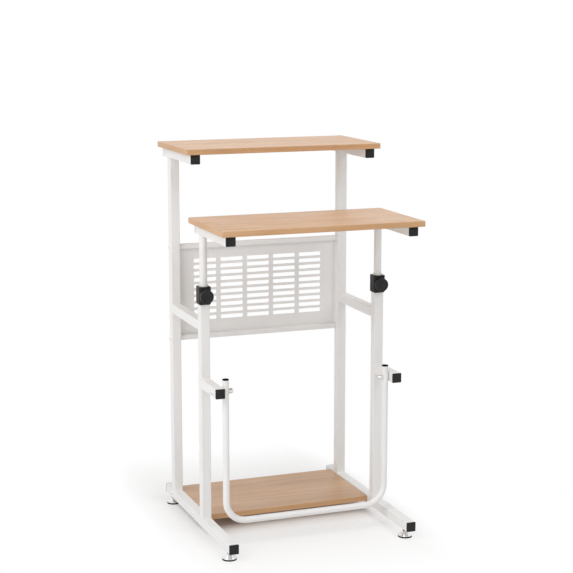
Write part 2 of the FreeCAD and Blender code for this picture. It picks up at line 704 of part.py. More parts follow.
def pivot_nut(sign):
    """A dome nut on the inner end of a pivot bolt."""
    at = Vector(sign * pivot_nut_x, pivot_y, FOOTREST_ARM_HEIGHT)
    inward = RIGHT * -sign
    radius = M8_NUT_FLATS / 2
    bulge = (radius * ARC_MIDDLE, M8_NUT_HEIGHT + PIVOT_NUT_DOME * ARC_MIDDLE)
    dome = turned(
        (0, 0),
        ((radius, 0),),
        ((radius, M8_NUT_HEIGHT),),
        (bulge, (0, M8_NUT_HEIGHT + PIVOT_NUT_DOME)),
    )
    nut = aim(dome, at, inward).fuse(hex_bar(M8_NUT_FLATS, M8_NUT_HEIGHT, at, inward))
    return nut.cut(rod(M8_RADIUS + SEAT_FIT, M8_NUT_HEIGHT, at, inward))


def round_plug(x):
    """A low cap with a chamfered edge on a footrest leg, and an insert in the tube."""
    insert = footrest_radius - FOOTREST_WALL - MOULD_FIT
    plug = turned(
        (0, -PLUG_INSERT),
        ((insert, -PLUG_INSERT),),
        ((insert, 0),),
        ((footrest_radius, 0),),
        ((footrest_radius, PLUG_CAP - ROUND_PLUG_CHAMFER),),
        ((footrest_radius - ROUND_PLUG_CHAMFER, PLUG_CAP),),
        ((0, PLUG_CAP),),
    )
    return aim(plug, Vector(x, pivot_y, leg_top))


def pivot_bolt(sign):
    """A bolt from an arm's outer face, through the leg and its bushes, into the dome nut."""
    length = outer_face_x - pivot_nut_x + M8_NUT_HEIGHT - SEAT_FIT
    head = Vector(sign * outer_face_x, pivot_y, FOOTREST_ARM_HEIGHT)
    return screw(PIVOT_BOLT, length, head, RIGHT * -sign)


save("footrest_bar", footrest_bar())
save("footrest_bar_plugs", *[round_plug(sign * leg_x) for _, sign in SIDES])
save("pivot_bushes", *[pivot_bush(sign * leg_x, outward) for _, sign in SIDES for outward in (-1, 1)])
save("pivot_nuts", *[pivot_nut(sign) for _, sign in SIDES])
save("pivot_bolts", *[pivot_bolt(sign) for _, sign in SIDES])


# Levelling feet

def foot_pad(at):
    """A rubber disc, hollowed a little under its middle."""
    hollow = FOOT_RADIUS - FOOT_PAD_RING
    pad = turned(
        (0, FOOT_PAD_RECESS),
        ((hollow, FOOT_PAD_RECESS),),
        ((hollow, 0),),
        ((FOOT_RADIUS, 0),),
        ((FOOT_RADIUS, FOOT_PAD),),
        ((0, FOOT_PAD),),
    )
    return aim(pad, at)


chamber_floor = FOOT_PAD + DISH_FLOOR
head_bottom = chamber_floor + SWIVEL_PLAY
head_top = head_bottom + STEM_HEAD_HEIGHT
head_radius = M8_RADIUS + STEM_HEAD_LIP


def foot_dish(at):
    """A cone on the pad, with a chamber that holds the stem's head."""
    neck = M8_RADIUS + HOLE_FIT
    chamber = head_radius + HOLE_FIT
    chamber_top = head_top + SWIVEL_PLAY
    rim_top = FOOT_PAD + DISH_RIM
    dish = turned(
        (0, FOOT_PAD),
        ((FOOT_RADIUS, FOOT_PAD),),
        ((FOOT_RADIUS, rim_top),),
        ((DISH_NECK_RADIUS, dish_top),),
        ((neck, dish_top),),
        ((neck, chamber_top),),
        ((chamber, chamber_top),),
        ((chamber, chamber_floor),),
        ((0, chamber_floor),),
    )
    return aim(dish, at)


def foot_stem(at):
    """A threaded stem with a head inside the dish and a hex for a spanner."""
    stem_top = rail_bottom + STEM_IN_RAIL
    stem = turned(
        (0, head_bottom),
        ((head_radius, head_bottom),),
        ((head_radius, head_top),),
        ((M8_RADIUS, head_top),),
        ((M8_RADIUS, stem_top),),
        ((0, stem_top),),
    )
    spanner = hex_bar(M8_NUT_FLATS, STEM_HEX_HEIGHT, UP * stem_hex_bottom)
    return aim(stem.fuse(spanner), at)


foot_nuts = []
for name, sign in SIDES:
    for end, y in foot_ys:
        floor = Vector(sign * side_x, y, 0)
        save(end + "_" + name + "_foot_pad", foot_pad(floor))
        save(end + "_" + name + "_foot_dish", foot_dish(floor))
        save(end + "_" + name + "_foot_stem", foot_stem(floor))
        foot_nuts.append(hex_nut(floor + UP * (rail_bottom - JAM_NUT_HEIGHT), height=JAM_NUT_HEIGHT))
        foot_nuts.append(hex_nut(floor + UP * (rail_bottom + TUBE_WALL)))
save("foot_nuts", *foot_nuts)
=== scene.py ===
# %% [markdown]
# # A two-tier standing desk, dressed for its photograph
# The desk is two side frames of square steel tube, painted white, that carry three laminated boards.
# The desktop rides up and down on round tubes, and a bent tube swings below it as a footrest.
# Its shape was modelled as solids in a CAD program, and those solids are loaded here as a fixed frame.
# This lesson gives them their finishes and adds the small things that a solid model leaves out,
# such as weld beads and screw threads. Each step says what the real thing is before it is made.

# %% Load the frame
import json
import math

import bmesh
import bpy
from mathutils import Matrix, Vector


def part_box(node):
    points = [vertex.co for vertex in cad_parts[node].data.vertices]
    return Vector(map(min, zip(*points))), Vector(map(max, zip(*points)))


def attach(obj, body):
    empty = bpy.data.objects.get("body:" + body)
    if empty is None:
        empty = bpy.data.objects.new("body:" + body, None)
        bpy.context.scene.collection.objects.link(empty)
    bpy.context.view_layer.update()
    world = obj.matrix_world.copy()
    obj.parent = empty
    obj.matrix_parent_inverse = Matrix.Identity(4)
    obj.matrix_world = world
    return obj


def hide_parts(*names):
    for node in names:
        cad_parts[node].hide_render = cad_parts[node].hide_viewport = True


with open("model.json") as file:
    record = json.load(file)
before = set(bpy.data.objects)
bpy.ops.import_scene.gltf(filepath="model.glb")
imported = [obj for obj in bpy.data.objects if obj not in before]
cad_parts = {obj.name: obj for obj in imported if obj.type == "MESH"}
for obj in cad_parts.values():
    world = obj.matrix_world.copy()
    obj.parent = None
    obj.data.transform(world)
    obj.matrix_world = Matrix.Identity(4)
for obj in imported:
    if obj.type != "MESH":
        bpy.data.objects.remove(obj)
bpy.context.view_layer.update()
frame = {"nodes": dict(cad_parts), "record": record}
scene = bpy.context.scene

# %% [markdown]
# ## The camera
# The photograph looks at the desk from its left front, with a long lens from a few metres away,
# a little above the desk and tilted down. The lens, the place and the turn below were found by
# matching edges of the frame to the picture. From so far away the uprights stay almost parallel,
# so the lens needs no shift.

# %% Make the camera
CAMERA_LENS_MM = 98.49
CAMERA_PLACE = (-1.6094, -4.2404, 1.5388)
CAMERA_TILT_DEGREES = 10.29
CAMERA_TURN_DEGREES = -20.789

scene.view_settings.view_transform = "Standard"
camera_data = bpy.data.cameras.new("photo_camera")
camera_data.lens = CAMERA_LENS_MM
camera = bpy.data.objects.new("photo_camera", camera_data)
camera.location = CAMERA_PLACE
camera.rotation_euler = (math.radians(90 - CAMERA_TILT_DEGREES), 0, math.radians(CAMERA_TURN_DEGREES))
scene.collection.objects.link(camera)
scene.camera = camera
print("camera", round(camera.location.length, 2), "m from the desk's foot")

# %% [markdown]
# ## Helpers for shader nodes
# Every finish below is a small network of shader nodes. Blender needs one call to make a node and
# one more for each value or link, which hides the idea behind the typing.
# Two helpers take that over. One fills a node's inputs from plain values or from other nodes'
# outputs, and the other adds a node with its settings and fills it.

# %% Add and fill nodes
def fill(tree, node, values):
    """Sets a node's inputs, by name or number, to plain values or to other nodes' outputs."""
    for key, value in values.items():
        if isinstance(value, bpy.types.NodeSocket):
            tree.links.new(value, node.inputs[key])
        else:
            node.inputs[key].default_value = value


def add(tree, kind, values=None, **settings):
    """Adds a node of one kind, with its settings, and fills its inputs."""
    node = tree.nodes.new(kind)
    for name, value in settings.items():
        setattr(node, name, value)
    fill(tree, node, values or {})
    return node


print("node helpers ready")

# %% [markdown]
# Most steps of a network are arithmetic: measure a distance, stretch a value over another range,
# blend two colours. Each is one kind of node, so each gets a helper that returns the node's output,
# ready for the next step.

# %% Arithmetic nodes
def maths(tree, operation, *values):
    """One step of arithmetic."""
    return add(tree, "ShaderNodeMath", dict(enumerate(values)), operation=operation).outputs[0]


def vector_maths(tree, operation, *values):
    """One step of arithmetic on vectors."""
    return add(tree, "ShaderNodeVectorMath", dict(enumerate(values)), operation=operation).outputs[0]


def stretched(tree, vector, factors):
    """The same coordinates, squeezed or drawn out along each axis."""
    return vector_maths(tree, "MULTIPLY", vector, factors)


def length_of(tree, vector):
    """The length of a vector."""
    return add(tree, "ShaderNodeVectorMath", {0: vector}, operation="LENGTH").outputs["Value"]


def between(tree, value, start, stop, low, high):
    """Stretches a value's run from start to stop over low to high, and holds it there."""
    values = {"Value": value, "From Min": start, "From Max": stop, "To Min": low, "To Max": high}
    return add(tree, "ShaderNodeMapRange", values).outputs[0]


def mix_colours(tree, share, first, second):
    """A blend of two colours: all first at share 0, all second at share 1."""
    values = {0: share, 6: first, 7: second}
    return add(tree, "ShaderNodeMix", values, data_type="RGBA").outputs[2]


def past_box(tree, place, low, high):
    """How far a place lies past a box along each axis: negative inside, positive outside."""
    from_middle = vector_maths(tree, "SUBTRACT", place, (low + high) / 2)
    return vector_maths(tree, "SUBTRACT", vector_maths(tree, "ABSOLUTE", from_middle), (high - low) / 2)


print("arithmetic helpers ready")

# %% [markdown]
# The patterns start from noise. A run of colours gives the noise its tones, and a bump turns a
# height into a tilt of the surface, so that fine relief needs no extra faces.

# %% Pattern nodes
NOISE_LOW = 0.3
NOISE_HIGH = 0.7


def noise(tree, vector, scale, detail):
    """Soft random noise, about one blotch in each 1 / scale metres."""
    values = {"Vector": vector, "Scale": scale, "Detail": detail}
    return add(tree, "ShaderNodeTexNoise", values).outputs[0]


def spread(tree, blotches, low, high):
    """Noise gathers about its middle; this draws it out over the whole of low to high."""
    return between(tree, blotches, NOISE_LOW, NOISE_HIGH, low, high)


def ramp(tree, value, colours):
    """A run of evenly spaced colours over values from 0 to 1."""
    node = add(tree, "ShaderNodeValToRGB", {"Fac": value})
    stops = node.color_ramp.elements
    while len(stops) < len(colours):
        stops.new(0.5)
    for index, colour in enumerate(colours):
        stops[index].position = index / (len(colours) - 1)
        stops[index].color = colour
    return node.outputs["Color"]


def bump(tree, height, depth):
    """A normal that follows a height map of a depth in metres."""
    return add(tree, "ShaderNodeBump", {"Height": height, "Distance": depth}).outputs["Normal"]


print("pattern helpers ready, noise is drawn out from", NOISE_LOW, "to", NOISE_HIGH)

# %% [markdown]
# ## The studio
# The desk stands in a white studio, in light so soft that it seems to come from everywhere.
# A white world gives that even light. It is kept low for the light that falls on the desk, while
# rays that go straight to the camera, or reach it by way of a shiny surface, see it as pure white.

# %% Studio air
AIR_LIGHT = 0.42
WHITE = (1, 1, 1, 1)


def seen_directly(tree):
    """1 for rays from the camera, from glossy surfaces and through clear ones, else 0."""
    path = add(tree, "ShaderNodeLightPath").outputs
    mirrored = maths(tree, "MAXIMUM", path["Is Glossy Ray"], path["Is Transmission Ray"])
    return maths(tree, "MAXIMUM", path["Is Camera Ray"], mirrored)


def make_air():
    world = bpy.data.worlds.new("studio_air")
    world.use_nodes = True
    tree = world.node_tree
    strength = between(tree, seen_directly(tree), 0, 1, AIR_LIGHT, 1)
    fill(tree, tree.nodes["Background"], {"Color": WHITE, "Strength": strength})
    scene.world = world


make_air()
print("studio air at", AIR_LIGHT)

# %% [markdown]
# The floor is white paint that keeps the desk's shadow. Further out it turns to the same white as
# the air, so it has no horizon. Near the desk the glow is painted light laid out around the outline
# of the bottom shelf: none under the shelf, where the shadow is deepest, a little just beside it, and
# all of it further out. So the floor under and beside the shelf is darkened by painted shade on top
# of its real shadow. The glow comes sooner to the left and right, where the shadow is narrow.

# %% Floor finish
FLOOR_COLOUR = (0.93, 0.92, 0.91, 1)
PAINTED_GLOW_BESIDE_SHELF = 0.4
SHADE_REACH = 0.06
FADE_START = 0.10
FADE_END = 0.50
SIDEWAYS_HURRY = 3.5


def make_floor_finish():
    finish = bpy.data.materials.new("studio_floor_paint_and_painted_glow")
    finish.use_nodes = True
    tree = finish.node_tree
    tree.nodes.remove(tree.nodes["Principled BSDF"])
    place = add(tree, "ShaderNodeTexCoord").outputs["Object"]
    # Painted glow: nothing under the shelf and rising away from its outline, a painted shade that follows
    # the shelf.
    past = past_box(tree, place, *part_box("bottom_shelf_board"))
    outside = vector_maths(tree, "MAXIMUM", past, (0, 0, 0))
    distance = length_of(tree, stretched(tree, outside, (SIDEWAYS_HURRY, 1, 0)))
    beside = between(tree, distance, 0, SHADE_REACH, 0, PAINTED_GLOW_BESIDE_SHELF)
    beyond = between(tree, distance, FADE_START, FADE_END, 0, 1 - PAINTED_GLOW_BESIDE_SHELF)
    share = maths(tree, "MULTIPLY", seen_directly(tree), maths(tree, "ADD", beside, beyond))
    paint = add(tree, "ShaderNodeBsdfDiffuse", {"Color": FLOOR_COLOUR}).outputs[0]
    light = add(tree, "ShaderNodeEmission", {"Color": WHITE, "Strength": 1.0}).outputs[0]
    mixed = add(tree, "ShaderNodeMixShader", {0: share, 1: paint, 2: light}).outputs[0]
    fill(tree, tree.nodes["Material Output"], {"Surface": mixed})
    return finish


floor_finish = make_floor_finish()
print("floor glows fully from", FADE_END, "m in front of the bottom shelf")

# %% [markdown]
# The floor itself is one large square.

# %% Floor
FLOOR_HALF_WIDTH = 9.0


def make_floor():
    bm = bmesh.new()
    bmesh.ops.create_grid(bm, x_segments=1, y_segments=1, size=FLOOR_HALF_WIDTH)
    mesh = bpy.data.meshes.new("studio_floor")
    bm.to_mesh(mesh)
    bm.free()
    mesh.materials.append(floor_finish)
    floor = bpy.data.objects.new("studio_floor", mesh)
    scene.collection.objects.link(floor)


make_floor()
print("floor", 2 * FLOOR_HALF_WIDTH, "m wide")

# %% [markdown]
# One large lamp stands to the left of the desk, above head height, and makes the left sides of the
# tubes the brightest ones. A weaker lamp in front lifts the front faces a little, and one overhead
# lights the boards. Large lamps near the subject give soft shadows, and a lamp that is wide for its
# power doesn't glare in the boards where they mirror it.

# %% Lamps
LAMP_TARGET = Vector((0, 0, 0.55))


def hang_lamp(name, place, size, power):
    """A square area lamp that faces the desk."""
    lamp = bpy.data.lights.new(name, "AREA")
    lamp.size = size
    lamp.energy = power
    stand = bpy.data.objects.new(name, lamp)
    stand.location = place
    stand.rotation_euler = (LAMP_TARGET - Vector(place)).to_track_quat("-Z", "Y").to_euler()
    scene.collection.objects.link(stand)
    print(name, size, "m wide at", power, "W")


hang_lamp("left_lamp", place=(-3.0, -1.3, 2.6), size=3.6, power=82)
hang_lamp("front_lamp", place=(1.4, -2.9, 3.0), size=1.6, power=23)
hang_lamp("top_lamp", place=(0.3, -0.6, 4.2), size=2.6, power=40)

# %% [markdown]
# ## Effects that several finishes share
# Real surfaces are never quite even: paint, plastic and plating all have slow cloudy changes in
# tint and shine. An effect that many finishes need is built once, as a node group with its own
# inputs, and every finish places the group with its own values.
# The first group makes such a cloud, between a low and a high value.

# %% Cloud group
CLOUD_DETAIL = 3.0


def open_group(name, inputs, outputs):
    """An empty node group with named sockets: "Vector" is a vector, and all others are numbers."""
    tree = bpy.data.node_groups.new(name, "ShaderNodeTree")
    for label in inputs:
        kind = "NodeSocketVector" if label == "Vector" else "NodeSocketFloat"
        tree.interface.new_socket(label, in_out="INPUT", socket_type=kind)
    for label in outputs:
        tree.interface.new_socket(label, in_out="OUTPUT", socket_type="NodeSocketFloat")
    given = tree.nodes.new("NodeGroupInput").outputs
    return tree, given, tree.nodes.new("NodeGroupOutput")


def make_cloud_group():
    tree, given, result = open_group("surface_cloud", ("Vector", "Size", "Low", "High"), ("Value",))
    blotches = noise(tree, given["Vector"], given["Size"], CLOUD_DETAIL)
    fill(tree, result, {"Value": spread(tree, blotches, given["Low"], given["High"])})
    return tree


cloud_group = make_cloud_group()


def cloud(tree, vector, size, low, high):
    """A slow cloud between two values, with about size blotches in a metre."""
    values = {"Vector": vector, "Size": size, "Low": low, "High": high}
    return add(tree, "ShaderNodeGroup", values, node_tree=cloud_group).outputs["Value"]


print("made", cloud_group.name)

# %% [markdown]
# Moulded plastics and rubber carry the texture of their mould, which was roughened by sparks:
# fine round pebbles with grit between them. Smooth cells make the pebbles and finer noise the grit.

# %% Pebble group
GRIT_PER_PEBBLE = 2.7
GRIT_DETAIL = 2.0


def make_pebble_group():
    tree, given, result = open_group("mould_pebble", ("Vector", "Size"), ("Height",))
    cell_values = {"Vector": given["Vector"], "Scale": given["Size"]}
    cells = add(tree, "ShaderNodeTexVoronoi", cell_values, feature="SMOOTH_F1").outputs["Distance"]
    grit_size = maths(tree, "MULTIPLY", given["Size"], GRIT_PER_PEBBLE)
    grit = noise(tree, given["Vector"], grit_size, GRIT_DETAIL)
    fill(tree, result, {"Height": maths(tree, "ADD", cells, grit)})
    return tree


pebble_group = make_pebble_group()


def pebbles(tree, vector, size):
    """The height of a pebbled surface, with about size pebbles in a metre."""
    values = {"Vector": vector, "Size": size}
    return add(tree, "ShaderNodeGroup", values, node_tree=pebble_group).outputs["Height"]


print("made", pebble_group.name)

# %% [markdown]
# ## White powder paint
# The tubes, the crossbars, the sheet panel and the footrest are powder coated: dry paint is blown
# on and melted in an oven. It flows into a satin skin with a faint peel like an orange's.
# A fine bump makes the peel, a slow cloud moves the shine, and two near whites keep large faces
# from looking like paper.

# %% Paint finish
PAINT_COOL = (0.845, 0.845, 0.842, 1)
PAINT_WARM = (0.868, 0.860, 0.848, 1)
PAINT_TINT_SIZE = 7.0
PAINT_SHINE_SIZE = 28.0
PAINT_SHINE = (0.34, 0.44)
PEEL_PER_METRE = 520.0
PEEL_DETAIL = 2.0
PEEL_DEPTH = 0.00012


def new_finish(name):
    """A material with its Principled shader and the object's own coordinates in metres."""
    finish = bpy.data.materials.new(name)
    finish.use_nodes = True
    tree = finish.node_tree
    return finish, tree, tree.nodes["Principled BSDF"], add(tree, "ShaderNodeTexCoord").outputs["Object"]


def make_paint():
    finish, tree, shader, place = new_finish("white_powder_paint")
    tint = cloud(tree, place, PAINT_TINT_SIZE, 0, 1)
    peel = noise(tree, place, PEEL_PER_METRE, PEEL_DETAIL)
    fill(tree, shader, {
        "Base Color": mix_colours(tree, tint, PAINT_COOL, PAINT_WARM),
        "Roughness": cloud(tree, place, PAINT_SHINE_SIZE, *PAINT_SHINE),
        "Normal": bump(tree, peel, PEEL_DEPTH),
    })
    return finish


paint_finish = make_paint()
print("made", paint_finish.name)

# %% [markdown]
# ## Light wood laminate
# The boards are chipboard under a printed laminate, with a plastic band glued along their edges.
# The print shows straight-grained light wood that runs the length of each board: broad pale and
# darker streaks, a few long arches where the saw cut across the rings, fine fibres and short pores.
# The grain is noise drawn out along the board. It is a group, because the face and the edge bands
# of all three boards use it, each along its own direction.

# %% Grain group
STREAK_STRETCH = (1.3, 30.0, 30.0)
STREAK_DETAIL = 3.0
STREAK_SHARE = 0.5
ARCH_STRETCH = (1.1, 7.5, 7.5)
ARCH_COUNT = 15.0
ARCH_SHARE = 0.28
FIBRE_STRETCH = (9.0, 330.0, 330.0)
FIBRE_DETAIL = 2.0
FIBRE_SHARE = 0.22
PORE_STRETCH = (46.0, 1100.0, 1100.0)
PORE_EDGE = (0.62, 0.70)
PLAIN_DETAIL = 1.0


def drawn_out(tree, place, stretch, detail):
    """Noise that is stretched along the grain."""
    return noise(tree, stretched(tree, place, stretch), 1.0, detail)


def make_grain_group():
    """Grain along the first axis: a tone from 0, dark, to 1, light, and a mask of the pores."""
    tree, given, result = open_group("laminate_grain", ("Vector",), ("Tone", "Pores"))
    place = given["Vector"]
    streaks = spread(tree, drawn_out(tree, place, STREAK_STRETCH, STREAK_DETAIL), 0, 1)
    hills = maths(tree, "MULTIPLY", drawn_out(tree, place, ARCH_STRETCH, PLAIN_DETAIL), ARCH_COUNT)
    arches = maths(tree, "MULTIPLY", maths(tree, "PINGPONG", hills, 1.0), ARCH_SHARE)
    fibres = spread(tree, drawn_out(tree, place, FIBRE_STRETCH, FIBRE_DETAIL), 0, 1)
    broad = maths(tree, "MULTIPLY_ADD", streaks, STREAK_SHARE, arches)
    tone = maths(tree, "MULTIPLY_ADD", fibres, FIBRE_SHARE, broad)
    dashes = drawn_out(tree, place, PORE_STRETCH, PLAIN_DETAIL)
    fill(tree, result, {"Tone": tone, "Pores": between(tree, dashes, *PORE_EDGE, 0, 1)})
    return tree


grain_group = make_grain_group()
print("made", grain_group.name)

# %% [markdown]
# The tone of the grain becomes a colour on a run from dark to light wood, and the pores are darker
# still. The edge band is a print of its own, a little warmer than the face.

# %% Grain colours
FACE_TONES = (
    (0.46, 0.262, 0.134, 1),
    (0.60, 0.366, 0.206, 1),
    (0.72, 0.470, 0.284, 1),
)
BAND_TONES = (
    (0.50, 0.272, 0.124, 1),
    (0.605, 0.352, 0.176, 1),
    (0.685, 0.424, 0.230, 1),
)
PORE_COLOUR = (0.33, 0.165, 0.075, 1)
PORE_SHARE = 0.35


def grain_colour(tree, vector, tones):
    """The colour of the grain along a vector's first axis, and the grain's own outputs."""
    grain = add(tree, "ShaderNodeGroup", {"Vector": vector}, node_tree=grain_group).outputs
    pores = maths(tree, "MULTIPLY", grain["Pores"], PORE_SHARE)
    return mix_colours(tree, pores, ramp(tree, grain["Tone"], tones), PORE_COLOUR), grain


print("face and band run over", len(FACE_TONES), "tones each")

# %% [markdown]
# Each board gets its own material, made by one function, because the edge band is found from the
# board's own size: it is whatever lies within a millimetre of the board's outline.
# A hair line of glue shows where the band meets the laminate. On the long edges the band's grain
# runs along the board, and on the short ends it runs front to back, as the strip was cut.

# %% Board finishes
GLUE_COLOUR = (0.24, 0.12, 0.055, 1)
GLUE_SHARE = 0.8
GLUE_HALF_WIDTH = 0.00022
BAND_THICKNESS = 0.0009
BOARD_SHINE_SIZE = 12.0
BOARD_SHINE = (0.33, 0.42)
PORE_DULLNESS = 0.08
FIBRE_DEPTH = 0.00006


def band_masks(tree, board, place):
    """Masks of a board's edge band, of the glue line beside it, and of the short ends."""
    past = past_box(tree, place, *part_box(board))
    axes = add(tree, "ShaderNodeSeparateXYZ", {0: past}).outputs
    nearest = maths(tree, "MAXIMUM", axes["X"], axes["Y"])
    past_glue = maths(tree, "ADD", nearest, BAND_THICKNESS)
    band = between(tree, past_glue, 0, GLUE_HALF_WIDTH, 0, 1)
    glue = between(tree, maths(tree, "ABSOLUTE", past_glue), 0, GLUE_HALF_WIDTH, GLUE_SHARE, 0)
    return band, glue, maths(tree, "GREATER_THAN", axes["X"], axes["Y"])


def turned_across(tree, place):
    """The same place with its first two axes changed over, so that the grain runs front to back."""
    axes = add(tree, "ShaderNodeSeparateXYZ", {0: place}).outputs
    return add(tree, "ShaderNodeCombineXYZ", {0: axes["Y"], 1: axes["X"], 2: axes["Z"]}).outputs[0]


def make_board_finish(board):
    finish, tree, shader, place = new_finish(board + "_laminate")
    band, glue, at_end = band_masks(tree, board, place)
    face_colour, face = grain_colour(tree, place, FACE_TONES)
    side_colour = grain_colour(tree, place, BAND_TONES)[0]
    end_colour = grain_colour(tree, turned_across(tree, place), BAND_TONES)[0]
    band_colour = mix_colours(tree, at_end, side_colour, end_colour)
    colour = mix_colours(tree, band, face_colour, band_colour)
    shine = cloud(tree, place, BOARD_SHINE_SIZE, *BOARD_SHINE)
    height = maths(tree, "SUBTRACT", face["Tone"], face["Pores"])
    fill(tree, shader, {
        "Base Color": mix_colours(tree, glue, colour, GLUE_COLOUR),
        "Roughness": maths(tree, "MULTIPLY_ADD", face["Pores"], PORE_DULLNESS, shine),
        "Normal": bump(tree, height, FIBRE_DEPTH),
    })
    return finish


subparts = frame["record"]["subparts"]
board_names = [row["node"] for row in subparts if row["material_slot"] == "light_wood"]
board_finishes = {board: make_board_finish(board) for board in board_names}
print("laminate on", ", ".join(board_finishes))

# %% [markdown]
# ## Black moulded plastic, white nylon and rubber
# The plugs in the square tubes, the clamp collars and the knobs are black plastic from a textured
# mould, so they look dark grey where the pale studio glances off them. The round plugs of the
# footrest are softer polyethylene, which is blacker and dull. The bushes and guides are white
# nylon, smoother and a little waxy. The pads under the feet are soft black rubber.
# They share the pebble group at different sizes, and differ in colour and shine.

# %% Moulded finishes
MOULD_TINT_SIZE = 60.0
MOULD_SHINE_SIZE = 35.0


def make_moulded(name, dark, light, pebble_size, pebble_depth, shine, specular):
    finish, tree, shader, place = new_finish(name)
    tint = cloud(tree, place, MOULD_TINT_SIZE, 0, 1)
    fill(tree, shader, {
        "Base Color": mix_colours(tree, tint, dark, light),
        "Roughness": cloud(tree, place, MOULD_SHINE_SIZE, *shine),
        "Specular IOR Level": specular,
        "Normal": bump(tree, pebbles(tree, place, pebble_size), pebble_depth),
    })
    print("made", name)
    return finish


plastic_finish = make_moulded(
    "black_moulded_plastic",
    dark=(0.022, 0.022, 0.0225, 1), light=(0.030, 0.030, 0.0305, 1),
    pebble_size=1500.0, pebble_depth=0.00012, shine=(0.40, 0.52), specular=0.14,
)
plug_finish = make_moulded(
    "dull_black_polyethylene",
    dark=(0.004, 0.004, 0.004, 1), light=(0.007, 0.007, 0.007, 1),
    pebble_size=2600.0, pebble_depth=0.00003, shine=(0.80, 0.90), specular=0.05,
)
nylon_finish = make_moulded(
    "white_moulded_nylon",
    dark=(0.78, 0.78, 0.76, 1), light=(0.84, 0.84, 0.81, 1),
    pebble_size=2200.0, pebble_depth=0.00004, shine=(0.38, 0.46), specular=0.5,
)
rubber_finish = make_moulded(
    "black_moulded_rubber",
    dark=(0.008, 0.008, 0.008, 1), light=(0.018, 0.0175, 0.017, 1),
    pebble_size=1200.0, pebble_depth=0.00015, shine=(0.72, 0.86), specular=0.2,
)

# %% [markdown]
# ## Zinc plate and dark steel
# Screws and bolts are zinc plated: a pale grey metal with a slightly blue and yellow bloom. The
# stems and nuts of the feet are given a dark satin steel instead.
# Both are a metal whose tint drifts between two tones, so one function makes them.

# %% Plated finishes
ZINC_TONES = ((0.74, 0.755, 0.78, 1), (0.80, 0.785, 0.74, 1))
ZINC_SHINE = (0.26, 0.40)
DARK_STEEL_TONES = ((0.060, 0.062, 0.068, 1), (0.100, 0.095, 0.090, 1))
DARK_STEEL_SHINE = (0.34, 0.48)
BLOOM_SIZE = 130.0
PLATE_SHINE_SIZE = 260.0


def make_plating(name, tones, shine):
    finish, tree, shader, place = new_finish(name)
    bloom = cloud(tree, place, BLOOM_SIZE, 0, 1)
    fill(tree, shader, {
        "Base Color": mix_colours(tree, bloom, *tones),
        "Metallic": 1.0,
        "Roughness": cloud(tree, place, PLATE_SHINE_SIZE, *shine),
    })
    print("made", name)
    return finish


zinc_finish = make_plating("zinc_plate", ZINC_TONES, ZINC_SHINE)
# The stems and nuts of the feet get this dark steel finish.
dark_steel_finish = make_plating("black_oxide", DARK_STEEL_TONES, DARK_STEEL_SHINE)

# %% [markdown]
# ## Chrome
# The dishes of the feet are chromed over a stamped and polished steel cup, which keeps faint rings
# from the polishing wheel. The four feet mirror each other about the middle of the desk, so one
# material finds the nearest foot by folding the coordinates, and draws the rings about its axis.

# %% Chrome finish
CHROME_COLD = (0.78, 0.79, 0.81, 1)
CHROME_WARM = (0.84, 0.84, 0.84, 1)
RING_PER_METRE = 2600.0
RING_DEPTH = 0.00002
RING_DULLNESS = 0.06
SMEAR_SIZE = 90.0
SMEAR_SHINE = (0.05, 0.16)


def make_chrome():
    finish, tree, shader, place = new_finish("polished_chrome")
    front = sum(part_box("front_right_foot_dish"), Vector()) / 2
    rear = sum(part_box("rear_right_foot_dish"), Vector()) / 2
    middle = Vector((0, (front.y + rear.y) / 2, 0))
    reach = Vector((front.x, (rear.y - front.y) / 2, 0))
    folded = vector_maths(tree, "ABSOLUTE", vector_maths(tree, "SUBTRACT", place, middle))
    radius = length_of(tree, stretched(tree, vector_maths(tree, "SUBTRACT", folded, reach), (1, 1, 0)))
    ring_values = {"W": maths(tree, "MULTIPLY", radius, RING_PER_METRE), "Scale": 1.0}
    rings = add(tree, "ShaderNodeTexNoise", ring_values, noise_dimensions="1D").outputs[0]
    smear = cloud(tree, place, SMEAR_SIZE, *SMEAR_SHINE)
    fill(tree, shader, {
        "Base Color": mix_colours(tree, rings, CHROME_COLD, CHROME_WARM),
        "Metallic": 1.0,
        "Roughness": maths(tree, "MULTIPLY_ADD", rings, RING_DULLNESS, smear),
        "Normal": bump(tree, rings, RING_DEPTH),
    })
    return finish


chrome_finish = make_chrome()
print("made", chrome_finish.name)

# %% [markdown]
# ## Dress the frame
# The shapes of the solids are already right, so each one stays and only changes its material.
# The record names a material slot for every piece; a small table turns that slot into a finish.

# %% Give every piece its finish
slot_finishes = {
    "white_paint": paint_finish,
    "black_plastic": plastic_finish,
    "black_polyethylene": plug_finish,
    "white_nylon": nylon_finish,
    "black_rubber": rubber_finish,
    "zinc_steel": zinc_finish,
    "black_oxide_steel": dark_steel_finish,
    "chrome": chrome_finish,
}
for row in subparts:
    finish = board_finishes.get(row["node"]) or slot_finishes[row["material_slot"]]
    frame["nodes"][row["node"]].material_slots[0].material = finish
print("dressed", len(subparts), "pieces")

# %% [markdown]
# ## New pieces
# The pieces below are modelled as meshes. Each needs outward faces, smooth shading that stops at
# sharp edges, a finish, and a body of the desk to move with. Some stand for a plain solid, which is
# then hidden. One helper does all of that, and another pushes a face out, the move that most
# pieces here are built from.

# %% Piece helpers
SHARP_EDGE = math.radians(32)
MERGE_DISTANCE = 1e-6


def finish_piece(name, bm, body, slot, *replaced):
    """Makes a piece from a bmesh, which rides on a body and may replace some solids."""
    bmesh.ops.recalc_face_normals(bm, faces=bm.faces[:])
    mesh = bpy.data.meshes.new(name)
    bm.to_mesh(mesh)
    bm.free()
    mesh.shade_smooth()
    mesh.set_sharp_from_angle(angle=SHARP_EDGE)
    mesh.materials.append(slot_finishes[slot])
    piece = bpy.data.objects.new(name, mesh)
    scene.collection.objects.link(piece)
    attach(piece, body)
    if replaced:
        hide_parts(*replaced)
    print(name, "with", len(mesh.polygons), "faces on", body)


